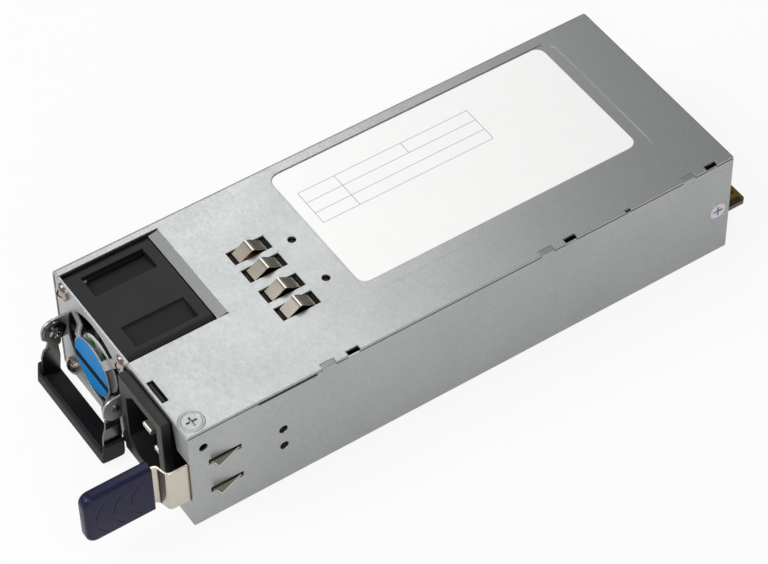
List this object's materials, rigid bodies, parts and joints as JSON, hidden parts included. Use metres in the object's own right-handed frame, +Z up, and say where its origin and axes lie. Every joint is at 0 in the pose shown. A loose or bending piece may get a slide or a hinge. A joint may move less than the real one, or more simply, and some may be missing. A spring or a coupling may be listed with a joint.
{
  "type": "server power supply",
  "caption": "hot swap power supply module in a folded steel case, with a cooling fan, a mains inlet, a bail handle and a sprung release latch in front and a card edge behind",
  "frame": {"origin": "centre of the underside of the folded case, without handle, latch and card edge", "axes": "+X to the side with the inlet and the latch, +Y from the front to the card edge, +Z up"},
  "size_m": [0.0762, 0.2247, 0.0411],
  "materials": {
    "case_steel": "galvanised sheet, fine grain",
    "bright_steel": "bright nickel plate",
    "spring_steel": "warm nickel plate",
    "arm_steel": "dark nickel plate",
    "fan_plastic": "charcoal satin",
    "inlet_plastic": "black satin",
    "grip_plastic": "black satin",
    "navy_plastic": "dark navy, soft gloss",
    "white_label": "blank white label",
    "blue_label": "blank blue label",
    "board_green": "solder mask",
    "gold": "gold-coloured plate",
    "film": "dark insulation film",
    "yellow_plastic": "yellow casing and tape",
    "blue_ceramic": "blue coated ceramic",
    "glass_fuse": "ceramic fuse",
    "ferrite": "sintered ferrite",
    "copper": "enamelled copper wire",
    "can_sleeve": "dark sleeve",
    "aluminium": "plain",
    "connector_white": "natural nylon",
    "yellow_wire": "insulation",
    "red_wire": "insulation",
    "black_wire": "insulation",
    "brown_wire": "insulation",
    "blue_wire": "insulation",
    "green_wire": "insulation"
  },
  "bodies": {
    "case": {"chassis": "case_steel", "rear_panel": "case_steel", "top_cover": "case_steel", "front_panel": "case_steel", "fan_frame": "fan_plastic", "fan_motor": "copper", "fan_label": "white_label", "guard_disc_label": "blue_label", "rating_label": "white_label", "inlet_housing": "inlet_plastic", "inlet_pins": "bright_steel", "handle_screws": "bright_steel", "latch_foot": "spring_steel", "latch_rivets": "bright_steel", "earth_fingers": "spring_steel", "cover_screw": "bright_steel", "case_screws": "bright_steel", "fan_screws": "bright_steel", "board_screws": "bright_steel", "main_board": "board_green", "card_contacts": "gold", "insulation_sheet": "film", "standoffs": "gold", "inlet_terminal": "inlet_plastic", "x_capacitor": "yellow_plastic", "relay": "fan_plastic", "bridge_rectifier": "fan_plastic", "live_wire": "brown_wire", "neutral_wire": "blue_wire", "earth_wire": "green_wire", "line_choke_core": "ferrite", "line_choke_winding": "copper", "y_capacitors": "blue_ceramic", "fuse": "glass_fuse", "boost_choke_core": "ferrite", "boost_choke_winding": "copper", "output_choke_core": "ferrite", "output_choke_winding": "copper", "bulk_capacitor": "can_sleeve", "primary_heat_sink": "aluminium", "secondary_heat_sink": "aluminium", "power_transistors": "fan_plastic", "transformer_core": "ferrite", "transformer_winding": "yellow_plastic", "standby_transformer": "yellow_plastic", "output_capacitors": "can_sleeve", "control_board": "board_green", "fan_connector": "connector_white", "fan_wire_yellow": "yellow_wire", "fan_wire_red": "red_wire", "fan_wire_black": "black_wire"},
    "handle": {"handle_arm_left": "arm_steel", "handle_arm_right": "arm_steel", "handle_grip": "grip_plastic"},
    "latch": {"latch_leaf": "spring_steel", "latch_tab": "navy_plastic"},
    "impeller": {"fan_rotor": "fan_plastic", "fan_shaft": "bright_steel"}
  },
  "joints": [
    {"name": "handle_swing", "type": "hinge", "parent": "case", "child": "handle", "pos_m": [-0.0148, -0.0965, 0.0206], "axis": [-1, 0, 0], "range_deg": [0, 150]},
    {"name": "latch_flex", "type": "hinge", "parent": "case", "child": "latch", "pos_m": [0.0353, -0.0663, 0.0188], "axis": [0, 0, -1], "range_deg": [0, 9], "stiffness_Nm_per_rad": 1.6},
    {"name": "fan_spin", "type": "hinge", "parent": "case", "child": "impeller", "pos_m": [-0.0143, -0.078, 0.01985], "axis": [0, 1, 0], "continuous": true}
  ]
}
